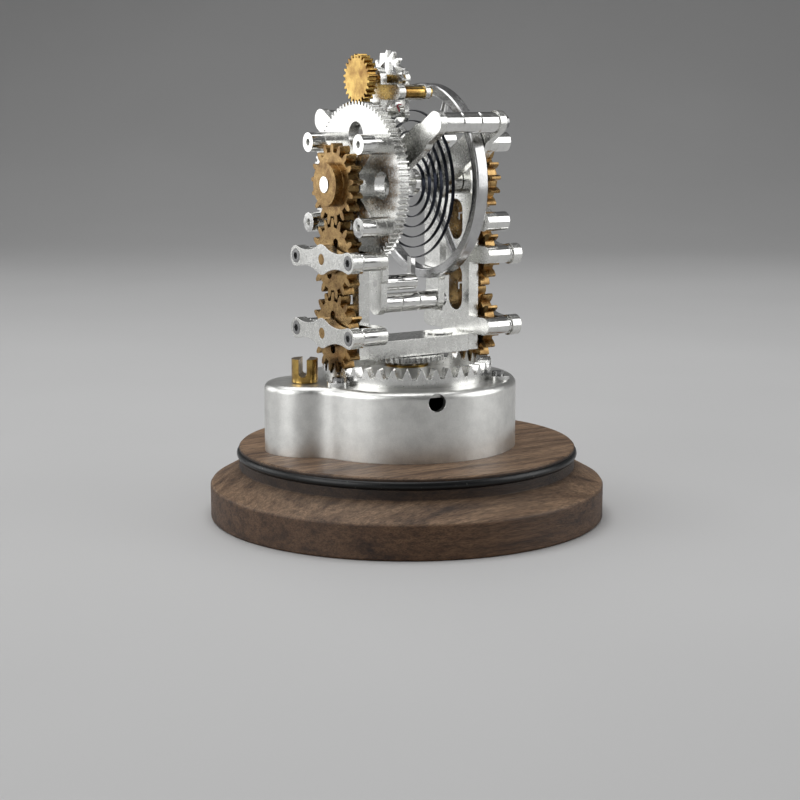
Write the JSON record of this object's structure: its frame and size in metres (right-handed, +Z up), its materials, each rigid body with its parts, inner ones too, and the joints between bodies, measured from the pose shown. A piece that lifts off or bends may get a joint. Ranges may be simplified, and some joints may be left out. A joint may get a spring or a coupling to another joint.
{
  "type": "escapement model",
  "caption": "Desk clock movement with two nested turning cages: geared towers carry a balance cage over a round metal casing and a turned wooden base.",
  "frame": {"origin": "centre of the underside of the round wooden base, on the vertical axis of the first cage", "axes": "+Z up along the vertical axis; +X along the axis of the second cage, towards the tower on the right in the picture; -Y towards the camera side"},
  "size_m": [0.15, 0.15, 0.1744],
  "materials": {
    "walnut": "oiled dark wood with straight grain",
    "black_rubber": "satin black",
    "satin_aluminium": "fine bead-blasted satin",
    "plain_aluminium": "plain machined",
    "cut_steel": "satin grey-white with bright tooth edges",
    "gear_brass": "brushed brass with brown mottling",
    "plain_brass": "turned brass",
    "screw_steel": "turned steel",
    "satin_steel": "fine satin with bright bevels",
    "bright_steel": "polished",
    "spring_steel": "dark blue-grey spring steel",
    "balance_steel": "turned with a bright rim",
    "red_stone": "polished red stone"
  },
  "bodies": {
    "stand": {"wood_base": "walnut", "dome_o_ring": "black_rubber", "base_screws": "screw_steel", "floor_screws": "screw_steel", "casing": "satin_aluminium", "casing_floor": "plain_aluminium", "centre_bearing": "plain_brass", "crown_gear": "cut_steel", "crown_screws": "screw_steel", "click_screw": "screw_steel", "click_spring": "spring_steel"},
    "barrel": {"barrel_drum": "gear_brass", "barrel_cover": "gear_brass", "mainspring": "spring_steel"},
    "barrel_arbor": {"barrel_arbor": "bright_steel", "ratchet_wheel": "bright_steel"},
    "winder": {"winding_arbor": "plain_brass", "winding_pinion": "plain_brass"},
    "click": {"click": "bright_steel"},
    "transfer": {"transfer_arbor": "bright_steel", "transfer_wheel": "gear_brass"},
    "cage_one": {"cage_staff": "bright_steel", "cage_drive_wheel": "cut_steel", "bottom_beam": "satin_steel", "left_side_plate": "satin_steel", "right_side_plate": "satin_steel", "lower_left_bridge": "satin_steel", "middle_left_bridge": "satin_steel", "lower_right_bridge": "satin_steel", "middle_right_bridge": "satin_steel", "bridge_pillars": "bright_steel", "upper_pillars": "bright_steel", "cage_screws": "screw_steel", "fixed_side_gear": "cut_steel"},
    "lower_left": {"lower_left_gear": "gear_brass"},
    "middle_left": {"middle_left_gear": "gear_brass"},
    "lower_right": {"lower_right_gear": "gear_brass"},
    "middle_right": {"middle_right_gear": "gear_brass"},
    "upper_right": {"upper_right_gear": "gear_brass"},
    "cage_two": {"upper_left_gear": "gear_brass", "left_trunnion": "bright_steel", "right_trunnion": "bright_steel", "cage_two_left_plate": "satin_steel", "cage_two_right_plate": "satin_steel", "cage_two_pillars": "bright_steel", "cage_two_screws": "screw_steel", "balance_jewels": "red_stone", "hairspring": "spring_steel", "hairspring_stud": "bright_steel", "escapement_cock": "satin_steel", "cock_posts": "plain_brass"},
    "escape_wheel": {"escape_wheel": "cut_steel", "escape_arbor": "plain_brass"},
    "pallets": {"pallet_fork": "satin_steel", "pallet_stones": "red_stone"},
    "balance": {"balance_wheel": "balance_steel", "balance_staff": "bright_steel", "impulse_roller": "bright_steel"}
  },
  "joints": [
    {"name": "cage_one_spin", "type": "hinge", "parent": "stand", "child": "cage_one", "pos_m": [0, 0, 0.06], "axis": [0, 0, 1], "continuous": true},
    {"name": "transfer_spin", "type": "hinge", "parent": "stand", "child": "transfer", "pos_m": [0.00715, 0.01814, 0.05], "axis": [0, 0, 1], "continuous": true},
    {"name": "barrel_spin", "type": "hinge", "parent": "stand", "child": "barrel", "pos_m": [-0.0148, 0.00242, 0.0395], "axis": [0, 0, 1], "continuous": true},
    {"name": "barrel_arbor_turn", "type": "hinge", "parent": "stand", "child": "barrel_arbor", "pos_m": [-0.0148, 0.00242, 0.048], "axis": [0, 0, 1], "continuous": true},
    {"name": "winding_turn", "type": "hinge", "parent": "stand", "child": "winder", "pos_m": [-0.04095, 0.00671, 0.05], "axis": [0, 0, 1], "continuous": true},
    {"name": "click_swing", "type": "hinge", "parent": "stand", "child": "click", "pos_m": [-0.02363, -0.02182, 0.048], "axis": [0, 0, 1], "range_deg": [0, 8], "stiffness_Nm_per_rad": 0.002},
    {"name": "lower_left_spin", "type": "hinge", "parent": "cage_one", "child": "lower_left", "pos_m": [-0.03, 0, 0.0719], "axis": [1, 0, 0], "continuous": true},
    {"name": "middle_left_spin", "type": "hinge", "parent": "cage_one", "child": "middle_left", "pos_m": [-0.03, 0, 0.099], "axis": [1, 0, 0], "continuous": true},
    {"name": "cage_two_spin", "type": "hinge", "parent": "cage_one", "child": "cage_two", "pos_m": [0, 0, 0.1261], "axis": [1, 0, 0], "continuous": true},
    {"name": "lower_right_spin", "type": "hinge", "parent": "cage_one", "child": "lower_right", "pos_m": [0.03, 0, 0.0719], "axis": [1, 0, 0], "continuous": true},
    {"name": "middle_right_spin", "type": "hinge", "parent": "cage_one", "child": "middle_right", "pos_m": [0.03, 0, 0.099], "axis": [1, 0, 0], "continuous": true},
    {"name": "upper_right_spin", "type": "hinge", "parent": "cage_one", "child": "upper_right", "pos_m": [0.03, 0, 0.1261], "axis": [1, 0, 0], "continuous": true},
    {"name": "escape_spin", "type": "hinge", "parent": "cage_two", "child": "escape_wheel", "pos_m": [-0.0087, 0, 0.1639], "axis": [1, 0, 0], "continuous": true},
    {"name": "pallet_rock", "type": "hinge", "parent": "cage_two", "child": "pallets", "pos_m": [-0.0087, 0, 0.15108], "axis": [1, 0, 0], "range_deg": [-5, 5]},
    {"name": "balance_swing", "type": "hinge", "parent": "cage_two", "child": "balance", "pos_m": [0.0088, 0, 0.1261], "axis": [1, 0, 0], "range_deg": [-220, 220], "stiffness_Nm_per_rad": 0.001}
  ],
  "couplings": [
    {"joint": "transfer_spin", "follows": "cage_one_spin", "ratio": -2.25},
    {"joint": "barrel_spin", "follows": "cage_one_spin", "ratio": 0.51136},
    {"joint": "barrel_arbor_turn", "follows": "winding_turn", "ratio": -0.325},
    {"joint": "lower_left_spin", "follows": "cage_one_spin", "ratio": 2.2353},
    {"joint": "middle_left_spin", "follows": "cage_one_spin", "ratio": -2.2353},
    {"joint": "cage_two_spin", "follows": "cage_one_spin", "ratio": 2.2353},
    {"joint": "lower_right_spin", "follows": "cage_one_spin", "ratio": -2.2353},
    {"joint": "middle_right_spin", "follows": "cage_one_spin", "ratio": 2.2353},
    {"joint": "upper_right_spin", "follows": "cage_one_spin", "ratio": -2.2353},
    {"joint": "escape_spin", "follows": "cage_one_spin", "ratio": 7.8235}
  ]
}
